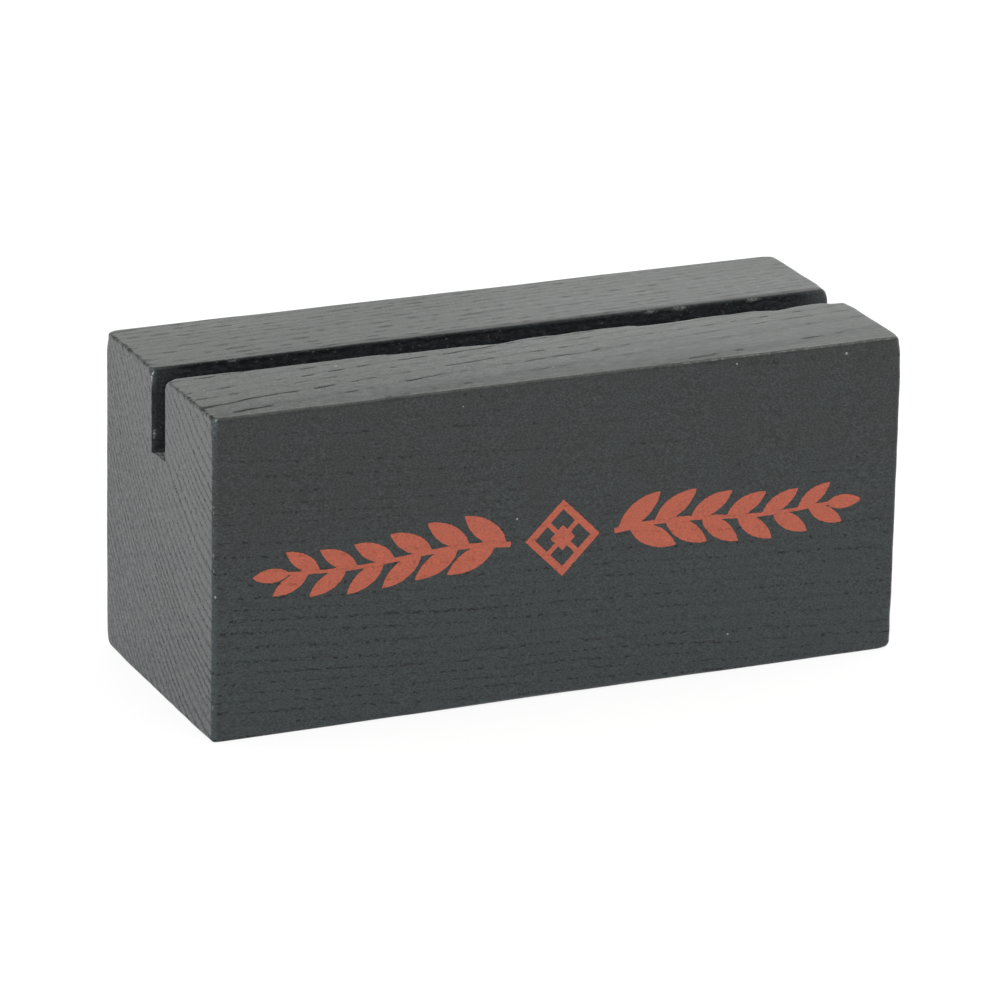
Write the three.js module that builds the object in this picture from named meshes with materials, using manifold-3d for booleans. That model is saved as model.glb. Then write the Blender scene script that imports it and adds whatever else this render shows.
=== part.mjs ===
// Menu card holder: a solid hardwood block with one saw-cut slot along its top, open at both ends,
// and an ornament printed on its front face. Millimetres, +Z up. The origin is the middle of the
// underside; +X runs along the block, and the front face looks towards -Y.
import * as THREE from "three";
import { mergeVertices } from "three/addons/utils/BufferGeometryUtils.js";
import Module from "manifold-3d";

// Block
const LENGTH = 127.0; // along X, 5 in
const DEPTH = 50.8; // along Y, 2 in
const HEIGHT = 57.15; // along Z, 2 1/4 in

// Slot for the card: full length, in the middle of the depth, open at both ends
const SLOT_WIDTH = 6.35; // 1/4 in
const SLOT_DEPTH = 14.5;
const SLOT_LIP_RADIUS = 0.45; // eased long arrises at the slot's mouth
const SLOT_MOUTH_EASE = 1.3; // hand-sanded corners where the mouth meets each end face
const SLOT_FLOOR_RADIUS = 0.2;

// Sanded arrises
const LONG_RADIUS = 0.7; // the four edges along X
const LEFT_RADIUS = 0.6; // edges of the left end face
const RIGHT_RADIUS = 1.5; // edges of the right end face, sanded more

// Print: ink film on the front face
const INK = 0.1; // film thickness
const PRINT_Z = 28.5; // height of the print's middle above the underside
const PRINT_HALF = 56.5; // half the print's width
const LOZENGE = 6.9; // half diagonal of the middle lozenge's outer edge
const LOZENGE_BAND = 1.25; // width of its band, square to the edge
const LOZENGE_CORE = 2.3; // half diagonal of the solid lozenge inside it
const LOZENGE_LINK = 0.9; // width of the four links from the core to the band
const SPRAY_START = 9.6; // where each leafy spray starts, from the middle
const STEM = 1.0; // stem width at the spray's root
const LEAF_PAIRS = 6;
const LEAF_LONG = 9.8; // first leaf's length; the others shrink towards the tip
const LEAF_SHRINK = 0.945;
const LEAF_WIDE = 0.37; // leaf width as a share of its length
const LEAF_ANGLE = 34; // degrees off the stem

const ARC = 6; // segments in a quarter round

const wasm = await Module();
wasm.setup();

// A closed three.js geometry as a solid.
function solid(geometry) {
  const g = geometry.clone();
  g.deleteAttribute("normal");
  g.deleteAttribute("uv");
  const m = mergeVertices(g, 1e-4);
  return new wasm.Manifold(
    new wasm.Mesh({
      numProp: 3,
      vertProperties: new Float32Array(m.attributes.position.array),
      triVerts: new Uint32Array(m.index.array),
    }),
  );
}

// A solid as a three.js geometry.
function geometryOf(manifold) {
  const m = manifold.getMesh();
  const p = new Float32Array(m.numVert * 3);
  for (let i = 0; i < m.numVert; i++)
    p.set(m.vertProperties.subarray(i * m.numProp, i * m.numProp + 3), i * 3);
  const g = new THREE.BufferGeometry();
  g.setAttribute("position", new THREE.BufferAttribute(p, 3));
  g.setIndex(new THREE.BufferAttribute(new Uint32Array(m.triVerts), 1));
  g.computeVertexNormals();
  return g;
}

// A closed outline whose corners are rounded: points are [x, y, radius], counter-clockwise.
// A corner that turns the other way is rounded too.
function roundedOutline(points) {
  const out = [];
  const n = points.length;
  points.forEach(([x, y, r], i) => {
    const here = new THREE.Vector2(x, y);
    const before = new THREE.Vector2(...points[(i + n - 1) % n]);
    const after = new THREE.Vector2(...points[(i + 1) % n]);
    if (!r) {
      out.push(here);
      return;
    }
    const a = before.clone().sub(here).normalize();
    const b = after.clone().sub(here).normalize();
    const half = Math.acos(THREE.MathUtils.clamp(a.dot(b), -1, 1)) / 2;
    const reach = r / Math.tan(half);
    const centre = here
      .clone()
      .add(a.clone().add(b).normalize().multiplyScalar(r / Math.sin(half)));
    const p0 = here.clone().addScaledVector(a, reach).sub(centre);
    const p1 = here.clone().addScaledVector(b, reach).sub(centre);
    const a0 = Math.atan2(p0.y, p0.x);
    let turn = Math.atan2(p1.y, p1.x) - a0;
    if (turn > Math.PI) turn -= 2 * Math.PI;
    if (turn < -Math.PI) turn += 2 * Math.PI;
    for (let k = 0; k <= ARC; k++) {
      const t = a0 + (turn * k) / ARC;
      out.push(
        new THREE.Vector2(
          centre.x + r * Math.cos(t),
          centre.y + r * Math.sin(t),
        ),
      );
    }
  });
  return new THREE.Shape(out);
}

// An outline extruded from 0 to length, with its own axes turned to the given ones.
function prism(shape, length, axes, offset) {
  const g = new THREE.ExtrudeGeometry(shape, {
    depth: length,
    bevelEnabled: false,
    curveSegments: 12,
  });
  g.applyMatrix4(
    new THREE.Matrix4().makeBasis(...axes).setPosition(...offset),
  );
  return g;
}

const X = new THREE.Vector3(1, 0, 0);
const Y = new THREE.Vector3(0, 1, 0);
const Z = new THREE.Vector3(0, 0, 1);
const MINUS_Y = new THREE.Vector3(0, -1, 0);

// Cross-section of the block, seen along X: a U with the slot in its top.
const d = DEPTH / 2;
const s = SLOT_WIDTH / 2;
const floor = HEIGHT - SLOT_DEPTH;
const section = prism(
  roundedOutline([
    [-d, 0, LONG_RADIUS],
    [d, 0, LONG_RADIUS],
    [d, HEIGHT, LONG_RADIUS],
    [s, HEIGHT, SLOT_LIP_RADIUS],
    [s, floor, SLOT_FLOOR_RADIUS],
    [-s, floor, SLOT_FLOOR_RADIUS],
    [-s, HEIGHT, SLOT_LIP_RADIUS],
    [-d, HEIGHT, LONG_RADIUS],
  ]),
  LENGTH,
  [Y, Z, X],
  [-LENGTH / 2, 0, 0],
);

// Front view and plan of the block, which round the edges of its two ends.
const l = LENGTH / 2;
const elevation = prism(
  roundedOutline([
    [-l, 0, LEFT_RADIUS],
    [l, 0, RIGHT_RADIUS],
    [l, HEIGHT, RIGHT_RADIUS],
    [-l, HEIGHT, LEFT_RADIUS],
  ]),
  DEPTH + 4,
  [X, Z, MINUS_Y],
  [0, d + 2, 0],
);
const plan = prism(
  roundedOutline([
    [-l, -d, LEFT_RADIUS],
    [l, -d, RIGHT_RADIUS],
    [l, d, RIGHT_RADIUS],
    [-l, d, LEFT_RADIUS],
  ]),
  HEIGHT + 4,
  [X, Y, Z],
  [0, 0, -2],
);

// The sanded corner where the slot's mouth meets an end face: a small wedge, widest at the
// top of the end face, taken off both lips.
function mouthEase(side) {
  const e = SLOT_MOUTH_EASE;
  const g = new THREE.BufferGeometry();
  const x0 = side * (l + 0.5);
  const x1 = side * (l - 1.6 * e);
  const top = HEIGHT + 0.5;
  const points = [];
  for (const x of [x0, x1]) {
    const w = x === x0 ? s + e : s - 0.2;
    const h = x === x0 ? HEIGHT - 1.7 * e : HEIGHT - 0.1;
    points.push(
      [x, -w, top],
      [x, w, top],
      [x, s - 0.2, h],
      [x, -s + 0.2, h],
    );
  }
  const quads = [
    [0, 1, 2, 3],
    [7, 6, 5, 4],
    [0, 4, 5, 1],
    [1, 5, 6, 2],
    [2, 6, 7, 3],
    [3, 7, 4, 0],
  ];
  const index = [];
  for (const [a, b, c, e4] of quads)
    index.push(a, b, c, a, c, e4);
  if (side > 0) {
    for (let i = 0; i < index.length; i += 3)
      [index[i + 1], index[i + 2]] = [index[i + 2], index[i + 1]];
  }
  g.setAttribute(
    "position",
    new THREE.Float32BufferAttribute(points.flat(), 3),
  );
  g.setIndex(index);
  return g;
}

let blockSolid = solid(section)
  .intersect(solid(elevation))
  .intersect(solid(plan));
for (const side of [-1, 1]) {
  const cut = solid(mouthEase(side));
  if (cut.volume() < 0) throw new Error("the mouth's wedge is inside out");
  blockSolid = blockSolid.subtract(cut);
}

// Print. Each motif is drawn in the front face's own plane: x to the right, y up, and the film
// stands off the face by its thickness.
function film(shape) {
  return prism(shape, INK, [X, Z, MINUS_Y], [0, 0, 0]);
}

// Lozenge: a square band standing on its corner, with a small solid square inside it that four
// links hold to the middles of the band's sides. It is laid out along its sides, then turned.
function turned(points) {
  return points.map(([u, v]) =>
    new THREE.Vector2(u, v).rotateAround(new THREE.Vector2(), Math.PI / 4),
  );
}
const bandOuter = LOZENGE / Math.SQRT2;
const bandInner = bandOuter - LOZENGE_BAND;
const coreHalf = LOZENGE_CORE / Math.SQRT2;
const linkHalf = LOZENGE_LINK / 2;
const lozenge = new THREE.Shape(
  turned([
    [-bandOuter, -bandOuter],
    [bandOuter, -bandOuter],
    [bandOuter, bandOuter],
    [-bandOuter, bandOuter],
  ]),
);
for (let quarter = 0; quarter < 4; quarter++) {
  const hole = turned([
    [linkHalf, coreHalf],
    [linkHalf, bandInner],
    [bandInner, bandInner],
    [bandInner, linkHalf],
    [coreHalf, linkHalf],
    [coreHalf, coreHalf],
  ]).map((p) =>
    p.rotateAround(new THREE.Vector2(), (quarter * Math.PI) / 2),
  );
  lozenge.holes.push(new THREE.Path(hole));
}

// The stem's middle line: a shallow wave that ends on the print's own axis.
function stemPoint(t) {
  const x = SPRAY_START + t * (PRINT_HALF - 6.2 - SPRAY_START);
  return new THREE.Vector2(x, 0.75 * Math.sin(t * Math.PI * 2) * (1 - 0.4 * t));
}
function stemDirection(t) {
  return stemPoint(Math.min(1, t + 0.01))
    .sub(stemPoint(Math.max(0, t - 0.01)))
    .normalize();
}

// A pointed leaf from its root along a direction, a little fuller on its outer half. The left
// spray's leaves are the right one's, mirrored.
function leaf(side, root, angle, length, bend) {
  const w = length * LEAF_WIDE;
  const shape = new THREE.Shape();
  const at = (u, v) => {
    const c = Math.cos(angle);
    const n = Math.sin(angle);
    return [side * (root.x + u * c - v * n), root.y + u * n + v * c];
  };
  shape.moveTo(...at(0, 0));
  shape.bezierCurveTo(
    ...at(length * 0.22, -w * 0.62),
    ...at(length * 0.66, -w * (0.72 - bend)),
    ...at(length, bend * w),
  );
  shape.bezierCurveTo(
    ...at(length * 0.66, w * (0.72 + bend)),
    ...at(length * 0.22, w * 0.62),
    ...at(0, 0),
  );
  return shape;
}

// One spray: stem, leaves in pairs and one leaf at the tip, joined into a single film.
function spray(side) {
  const stem = [];
  const steps = 28;
  for (let i = 0; i <= steps; i++) {
    const t = i / steps;
    const p = stemPoint(t);
    const q = stemDirection(t);
    stem.push([p, q, (STEM / 2) * (1 - 0.45 * t)]);
  }
  const edge = (w, [p, q]) =>
    new THREE.Vector2(side * (p.x + q.y * w), p.y - q.x * w);
  const outline = [
    ...stem.map((at) => edge(at[2], at)),
    ...stem.map((at) => edge(-at[2], at)).reverse(),
  ];
  const shapes = [new THREE.Shape(outline)];
  for (let i = 0; i < LEAF_PAIRS; i++) {
    const long = LEAF_LONG * LEAF_SHRINK ** i;
    [1, -1].forEach((up) => {
      const t = (i + (up > 0 ? 0.12 : 0.42)) / LEAF_PAIRS;
      const p = stemPoint(t);
      const q = stemDirection(t);
      const base = Math.atan2(q.y, q.x);
      shapes.push(
        leaf(
          side,
          p,
          base + (up * LEAF_ANGLE * Math.PI) / 180,
          long,
          -0.12 * up,
        ),
      );
    });
  }
  const end = stemPoint(0.985);
  const tip = leaf(side, end, 0, PRINT_HALF - end.x, 0);
  shapes.push(tip);
  let made = null;
  for (const shape of shapes) {
    const piece = solid(film(shape));
    made = made ? made.add(piece) : piece;
  }
  return made;
}

// Materials
function stained() {
  return new THREE.MeshStandardMaterial({
    color: 0x2b2d2e,
    roughness: 0.62,
    metalness: 0,
  });
}
function ink() {
  return new THREE.MeshStandardMaterial({
    color: 0xb0503f,
    roughness: 0.55,
    metalness: 0,
  });
}

const holder = new THREE.Group();

const block = new THREE.Mesh(geometryOf(blockSolid), stained());
block.name = "block";
holder.add(block);

// The print's group lies in the plane of the front face.
const print = new THREE.Group();
print.position.set(0, -d, PRINT_Z);
holder.add(print);
[
  ["print_lozenge", solid(film(lozenge))],
  ["print_spray_left", spray(-1)],
  ["print_spray_right", spray(1)],
].forEach(([name, made]) => {
  const mesh = new THREE.Mesh(geometryOf(made), ink());
  mesh.name = name;
  print.add(mesh);
});

export default holder;
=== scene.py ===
"""Menu card holder: a black-stained block of open-pored hardwood with a slot along its top.

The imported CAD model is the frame. The block is rebuilt here as a fine mesh with hand-sanded
arrises, worn slot lips and true corner roundings, and the ornament as thin ink films that lie
on its front face. Lengths in the mesh code are millimetres; meshes are stored in metres.
"""

import math

import bpy
import numpy as np
from mathutils import Matrix, Vector


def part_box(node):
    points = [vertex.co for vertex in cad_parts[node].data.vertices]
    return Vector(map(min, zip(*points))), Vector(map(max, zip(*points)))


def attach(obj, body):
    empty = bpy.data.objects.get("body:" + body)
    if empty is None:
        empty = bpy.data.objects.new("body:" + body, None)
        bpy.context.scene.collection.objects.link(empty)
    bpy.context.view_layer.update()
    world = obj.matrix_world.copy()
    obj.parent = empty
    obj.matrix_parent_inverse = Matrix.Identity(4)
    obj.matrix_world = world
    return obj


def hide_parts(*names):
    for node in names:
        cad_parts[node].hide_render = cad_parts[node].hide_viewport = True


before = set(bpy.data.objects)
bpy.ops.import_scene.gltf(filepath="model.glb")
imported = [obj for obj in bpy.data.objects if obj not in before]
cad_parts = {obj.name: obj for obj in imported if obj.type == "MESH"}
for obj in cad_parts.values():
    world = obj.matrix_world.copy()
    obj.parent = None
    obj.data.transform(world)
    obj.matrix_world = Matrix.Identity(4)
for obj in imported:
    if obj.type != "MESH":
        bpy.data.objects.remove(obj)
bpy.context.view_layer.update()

# ---------------------------------------------------------------- sizes, from the CAD block
low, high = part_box("block")
HALF_L = high.x * 1000.0
HALF_W = high.y * 1000.0
H = high.z * 1000.0
SLOT = 6.35 / 2  # half the slot's width
FLOOR = H - 14.5  # height of the slot's floor


# ---------------------------------------------------------------- noise
def _hashed(i, seed):
    i = (i.astype(np.int64) * 374761393 + seed * 668265263) & 0xFFFFFFFF
    i = ((i ^ (i >> 13)) * 1274126177) & 0xFFFFFFFF
    i = ((i ^ (i >> 15)) * 2246822519) & 0xFFFFFFFF
    return ((i ^ (i >> 16)) & 0xFFFFFF) / float(0xFFFFFF) * 2.0 - 1.0


def _ease(t):
    return t * t * t * (t * (t * 6 - 15) + 10)


def noise1(x, seed):
    """Smooth noise from -1 to 1 along one axis, one bump per unit."""
    x = np.asarray(x, float)
    i = np.floor(x)
    t = _ease(x - i)
    a, b = _hashed(i, seed), _hashed(i + 1, seed)
    return a + (b - a) * t


def noise2(x, y, seed):
    x, y = np.asarray(x, float), np.asarray(y, float)
    i, j = np.floor(x), np.floor(y)
    u, v = _ease(x - i), _ease(y - j)

    def at(a, b):
        return _hashed(a * 7919 + b * 104729, seed)

    top = at(i, j) * (1 - u) + at(i + 1, j) * u
    bottom = at(i, j + 1) * (1 - u) + at(i + 1, j + 1) * u
    return top * (1 - v) + bottom * v


def step(a, b, x):
    t = np.clip((np.asarray(x, float) - a) / (b - a), 0.0, 1.0)
    return t * t * (3 - 2 * t)


def bump(x, centre, half):
    """A smooth hump of height 1 that ends at centre - half and centre + half."""
    t = np.clip(np.abs((np.asarray(x, float) - centre) / half), 0.0, 1.0)
    return (1 - t * t) ** 2


# ---------------------------------------------------------------- the block's arrises
# Radii in millimetres as functions of x, the place along the block.
def near_left(x, reach):
    return (1 - step(0.0, reach, x + HALF_L)) ** 1.5


def near_right(x, reach):
    return (1 - step(0.0, reach, HALF_L - x)) ** 1.5


def r_top_front(x):
    r = 0.56 + 0.13 * noise1(x / 5.3, 3) + 0.07 * noise1(x / 1.7, 4)
    r = r + 0.22 * bump(x, 27.0, 7.0) + 0.16 * bump(x, -31.0, 5.0)
    return r + 0.3 * near_left(x, 2.4) + 0.4 * near_right(x, 2.0)


def r_top_back(x):
    r = 0.66 + 0.1 * noise1(x / 7.1, 5)
    r = r - 0.2 * bump(x, -45.0, 15.0) - 0.26 * bump(x, 32.0, 26.0)
    return r + 0.85 * near_left(x, 2.4) + 0.9 * near_right(x, 3.4)


def r_bottom_front(x):
    r = np.interp(x, [-63, -45, -21, -5, 10, 30, 48, 63], [0.24, 0.35, 0.62, 0.85, 0.85, 0.6, 0.5, 0.47])
    r = r + 0.07 * noise1(x / 6.3, 6)
    return r + 0.25 * near_left(x, 2.2) + 0.85 * near_right(x, 3.0)


def r_bottom_back(x):
    r = 0.8 + 0.1 * noise1(x / 8.0, 7)
    return r + 1.15 * near_left(x, 3.8) + 0.6 * near_right(x, 3.4)


# The front lip is worn and torn here and there: radius by distance from the left end.
LIP_AT = [0, 3, 12, 13.5, 19, 22, 30, 38, 40, 41.8, 53, 56, 60, 62.5, 65, 69, 71.7, 75, 80, 85.5, 86.7,
          91, 96, 99, 101.5, 104, 108.3, 110, 113, 115.3, 117, 120, 122.6, 123.8, 127]
LIP_R = [0.3, 0.24, 0.24, 0.5, 0.5, 0.38, 0.36, 0.24, 0.7, 1.2, 1.22, 1.6, 2.2, 1.6, 0.85, 0.62, 0.9, 0.45,
         0.32, 0.5, 1.35, 1.5, 1.2, 0.75, 0.6, 0.82, 0.5, 0.95, 1.75, 1.35, 0.72, 0.42, 0.6, 1.5, 1.65]


def r_lip_front(x):
    r = np.interp(x + HALF_L, LIP_AT, LIP_R)
    r = r + 0.05 * noise1(x / 2.3, 8) + 0.05 * noise1(x / 0.9, 9)
    return r + 1.65 * near_left(x, 2.4)


# Small nicks in the back lip: centre, half length and how worn they are.
NICKS = [(-48.6, 1.8, 0.6), (29.0, 1.4, 0.75), (34.6, 2.1, 0.95), (48.7, 1.4, 0.95)]


def r_lip_back(x):
    r = 0.45 + 0.34 * step(-20.0, 25.0, x)
    r = r + 0.07 * noise1(x / 4.3, 10) + 0.05 * noise1(x / 1.1, 11)
    for centre, half, wear in NICKS:
        r = r + 0.1 * wear * bump(x, centre, half)
    return r + 0.65 * near_right(x, 2.6)


R_FILLET = 0.1  # where the slot's walls meet its floor

# ---------------------------------------------------------------- grid lines
NEAR = [0.0, 0.11, 0.23, 0.36, 0.5, 0.66, 0.85, 1.1, 1.45, 1.9, 2.5, 3.3]


def lines(a, b, pitch, fine_a=NEAR, fine_b=NEAR):
    """Grid lines from a to b, close together at both ends."""
    left = [a + t for t in fine_a]
    right = [b - t for t in reversed(fine_b)]
    n = max(1, int(round((right[0] - left[-1]) / pitch)))
    inner = [left[-1] + (right[0] - left[-1]) * k / n for k in range(1, n)]
    return left + inner + right


SHORT = [0.0, 0.1, 0.24, 0.45, 0.75]
xs = np.array(lines(-HALF_L, HALF_L, 0.82))
y_front = lines(-HALF_W, -SLOT, 1.0)
y_slot = lines(-SLOT, SLOT, 0.36, SHORT, SHORT)
y_back = lines(SLOT, HALF_W, 1.0)
ys = np.array(y_front + y_slot[1:] + y_back[1:])
z_body = lines(0.0, FLOOR, 1.0, NEAR, SHORT)
z_rail = lines(FLOOR, H, 1.0, SHORT, NEAR)
zs = np.array(z_body + z_rail[1:])
NX, NY, NZ = len(xs), len(ys), len(zs)
J0, J1 = len(y_front) - 1, len(y_front) + len(y_slot) - 2  # the slot's two walls
K0 = len(z_body) - 1  # the slot's floor

# ---------------------------------------------------------------- quads, by the side they lie on
index = {}
points = []


def vertex(i, j, k):
    key = (i, j, k)
    if key not in index:
        index[key] = len(points)
        points.append(key)
    return index[key]


quads, sides, corners = [], [], []


def add(side, keys, flip):
    if flip:
        keys = keys[::-1]
    quads.append([vertex(*key) for key in keys])
    sides.append(side)
    corners.append(keys)


def solid_cell(j, k):
    """Whether a cell of the cross-section is wood."""
    return not (J0 <= j < J1 and k >= K0)


for i in range(NX - 1):
    for j in range(NY - 1):
        add("bottom", [(i, j, 0), (i + 1, j, 0), (i + 1, j + 1, 0), (i, j + 1, 0)], True)
        k = K0 if J0 <= j < J1 else NZ - 1
        side = "floor" if J0 <= j < J1 else ("top_front" if j < J0 else "top_back")
        add(side, [(i, j, k), (i + 1, j, k), (i + 1, j + 1, k), (i, j + 1, k)], False)
    for k in range(NZ - 1):
        add("front", [(i, 0, k), (i + 1, 0, k), (i + 1, 0, k + 1), (i, 0, k + 1)], False)
        add("back", [(i, NY - 1, k), (i + 1, NY - 1, k), (i + 1, NY - 1, k + 1), (i, NY - 1, k + 1)], True)
        if k >= K0:
            add("wall_front", [(i, J0, k), (i + 1, J0, k), (i + 1, J0, k + 1), (i, J0, k + 1)], True)
            add("wall_back", [(i, J1, k), (i + 1, J1, k), (i + 1, J1, k + 1), (i, J1, k + 1)], False)
for j in range(NY - 1):
    for k in range(NZ - 1):
        if solid_cell(j, k):
            add("left", [(0, j, k), (0, j + 1, k), (0, j + 1, k + 1), (0, j, k + 1)], True)
            n = NX - 1
            add("right", [(n, j, k), (n, j + 1, k), (n, j + 1, k + 1), (n, j, k + 1)], False)

grid = np.array(points)
quads = np.array(quads)
sharp = np.stack([xs[grid[:, 0]], ys[grid[:, 1]], zs[grid[:, 2]]], 1)


# ---------------------------------------------------------------- cross-section rounding
def round_corner(p, y0, z0, ty, tz, r):
    """Moves the points inside the corner at (y0, z0) so that its square becomes a quarter disc.
    ty and tz point from the corner into the wood."""
    a = (y0 + ty * r - p[:, 1]) * ty  # distance towards the corner, from the arc's centre
    b = (z0 + tz * r - p[:, 2]) * tz
    inside = (a > 0) & (b > 0) & (a <= r + 1e-6) & (b <= r + 1e-6)
    a, b, rr = a[inside], b[inside], r[inside]
    scale = np.maximum(a, b) / np.hypot(a, b)
    p[inside, 1] = y0 + ty * (rr - a * scale)
    p[inside, 2] = z0 + tz * (rr - b * scale)


def rounded_section(p):
    p = p.copy()
    x = p[:, 0]
    round_corner(p, -HALF_W, H, 1, -1, r_top_front(x))
    round_corner(p, HALF_W, H, -1, -1, r_top_back(x))
    round_corner(p, -HALF_W, 0.0, 1, 1, r_bottom_front(x))
    round_corner(p, HALF_W, 0.0, -1, 1, r_bottom_back(x))
    round_corner(p, -SLOT, H, -1, -1, r_lip_front(x))
    round_corner(p, SLOT, H, 1, -1, r_lip_back(x))
    # The fillets at the slot's floor lie in the slot, so only wall and floor points move.
    r = np.full(len(p), R_FILLET)
    on_wall = (np.abs(np.abs(sharp[:, 1]) - SLOT) < 1e-6) & (sharp[:, 2] >= FLOOR - 1e-6)
    on_floor = (np.abs(sharp[:, 1]) <= SLOT + 1e-6) & (np.abs(sharp[:, 2] - FLOOR) < 1e-6)
    surface = on_wall | on_floor
    for side in (-1, 1):
        q = p[surface].copy()
        round_corner(q, side * SLOT, FLOOR, -side, 1, r[surface])
        p[surface] = q
    return p


section = rounded_section(sharp)

# The outline of the cross-section as a loop of (j, k), from the bottom's front corner round.
loop = [(j, 0) for j in range(NY)]
loop += [(NY - 1, k) for k in range(1, NZ)]
loop += [(j, NZ - 1) for j in range(NY - 2, J1 - 1, -1)]
loop += [(J1, k) for k in range(NZ - 2, K0 - 1, -1)]
loop += [(j, K0) for j in range(J1 - 1, J0 - 1, -1)]
loop += [(J0, k) for k in range(K0 + 1, NZ)]
loop += [(j, NZ - 1) for j in range(J0 - 1, -1, -1)]
loop += [(0, k) for k in range(NZ - 2, 0, -1)]


# ---------------------------------------------------------------- rounding of the two end faces
def r_end_left(y, z):
    """Radius of the left end face's edge at a place on the outline."""
    r = 0.42 + 0.06 * noise1((y + z) / 2.3, 20)
    upright = step(HALF_W - 1.5, HALF_W - 0.2, y)
    r = r + (0.1 + 0.2 * step(15.0, 45.0, z) + 0.9 * step(H - 3.8, H - 0.6, z)) * upright
    front_upright = step(HALF_W - 1.5, HALF_W - 0.3, -y)
    worn = 0.2 + 0.05 * noise1(z / 3.7, 22) + 0.5 * step(H - 4.5, H - 0.8, z)
    r = r + worn * front_upright * step(0.4, 3.5, z)
    r = r - 0.08 * (1 - step(0.2, 2.0, z)) + 0.4 * step(13.0, HALF_W, y) * (1 - step(0.5, 4.0, z))
    r = r + 0.3 * step(17.0, HALF_W - 0.5, -y) * (1 - step(0.3, 2.5, z))
    slot_edge = (1 - step(0.3, 1.6, np.abs(y) - SLOT)) * step(FLOOR - 1.2, FLOOR - 0.2, z)
    slot_edge = slot_edge * (1 - 0.5 * step(H - 2.6, H - 0.8, z) * step(0.0, 0.5, -y))
    return r * (1 - slot_edge) + 0.07 * slot_edge


def r_end_right(y, z):
    r = 1.08 + 0.08 * noise1((y - z) / 3.1, 21)
    r = r + 0.2 * step(HALF_W - 4.0, HALF_W - 1.0, np.abs(y)) * step(H - 4.0, H - 1.0, z)
    r = r + 0.47 * (1 - step(1.4, 4.6, np.abs(y) - SLOT)) * step(H - 2.2, H - 0.5, z)
    r = r + 0.2 * step(HALF_W - 4.0, HALF_W - 1.0, np.abs(y)) * (1 - step(1.0, 4.0, z))
    slot_edge = (1 - step(0.3, 3.0, np.abs(y) - SLOT)) * step(FLOOR - 2.0, FLOOR - 0.2, z)
    low_slot = slot_edge * (1 - 0.9 * step(H - 5.0, H - 1.0, z))
    r = r * (1 - low_slot) + 0.4 * low_slot
    front = step(HALF_W - 2.0, HALF_W - 0.3, -y)
    r = r - 0.22 * front * step(6.0, 10.0, z) * (1 - step(H - 8.0, H - 4.0, z))
    return r - 0.3 * front * (1 - step(3.0, 5.5, z))


def outline_normals(loop_points):
    """Outward normals of a closed outline that runs counter-clockwise, as seen from +X."""
    a = loop_points - np.roll(loop_points, 1, 0)
    b = np.roll(loop_points, -1, 0) - loop_points

    def normal(t):
        n = np.stack([t[:, 1], -t[:, 0]], 1)
        return n / np.maximum(np.linalg.norm(n, axis=1, keepdims=True), 1e-9)

    n = normal(a) + normal(b)
    return n / np.linalg.norm(n, axis=1, keepdims=True)


rounded = section.copy()
for i in range(NX):
    for side, radius in ((-1, r_end_left), (1, r_end_right)):
        if HALF_L - side * xs[i] > 2.4:
            continue
        at = np.array([index[(i, j, k)] for j, k in loop])
        p2 = section[at][:, 1:]
        normal = outline_normals(p2)
        r = radius(p2[:, 0], p2[:, 1])
        reach = side * xs[i] - (HALF_L - r)  # how far this ring lies inside the rounding
        turn = reach > 0
        r, reach, n = r[turn][:, None], reach[turn][:, None], normal[turn]
        away = np.concatenate([reach, r * n], 1)
        away /= np.linalg.norm(away, axis=1, keepdims=True)
        centre = np.concatenate([np.zeros_like(r) + HALF_L - r, p2[turn] - r * n], 1)
        new = centre + r * away
        new[:, 0] *= side
        rounded[at[turn]] = new

for side, radius in ((-1, r_end_left), (1, r_end_right)):
    i = 0 if side < 0 else NX - 1
    outline = np.array([index[(i, j, k)] for j, k in loop])
    on_outline = set(outline.tolist())
    face = np.array([v for v, key in enumerate(points) if key[0] == i and v not in on_outline])
    p2 = section[face][:, 1:]
    a = section[outline][:, 1:]
    b = np.roll(a, -1, 0)
    t = b - a
    best = np.full(len(p2), 1e9)
    near = np.zeros_like(p2)
    for start, edge in zip(a, t):
        w = np.clip(((p2 - start) @ edge) / max(edge @ edge, 1e-12), 0, 1)[:, None]
        foot = start + w * edge
        dist = np.linalg.norm(p2 - foot, axis=1)
        closer = dist < best
        best[closer] = dist[closer]
        near[closer] = foot[closer]
    inward = (p2 - near) / np.maximum(best, 1e-9)[:, None]
    r = radius(near[:, 0], near[:, 1])
    turn = best < r
    r, depth, inward = r[turn][:, None], best[turn][:, None], inward[turn]
    away = np.concatenate([r, -(r - depth) * inward], 1)
    away /= np.linalg.norm(away, axis=1, keepdims=True)
    centre = np.concatenate([HALF_L - r, p2[turn] + (r - depth) * inward], 1)
    new = centre + r * away
    new[:, 0] *= side
    rounded[face[turn]] = new


# ---------------------------------------------------------------- hand-sanded unevenness
def hollow_front(x, z):
    """How far the front face lies behind its flat plane, in mm."""
    wave = 0.5 + 0.5 * noise2(x / 17.0 + 3.1, z / 9.0 + 7.7, 30)
    small = 0.5 + 0.5 * noise2(x / 6.5, z / 2.6, 31)
    return 0.045 * wave + 0.012 * small


def uneven(p, away):
    """Pushes each point a little into the wood, by smooth noise on the side that it faces."""
    x, y, z = p.T
    depth = np.zeros(len(p))
    share = away**2
    depth += share[:, 1] * hollow_front(x, z)
    top = 0.05 * (0.5 + 0.5 * noise2(x / 19.0, y / 8.0, 32)) + 0.014 * (0.5 + 0.5 * noise2(x / 6.0, y / 2.2, 33))
    depth += share[:, 2] * top
    end = 0.04 * (0.5 + 0.5 * noise2(y / 9.0, z / 9.0, 34))
    depth += share[:, 0] * end
    return p - away * depth[:, None]


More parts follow.
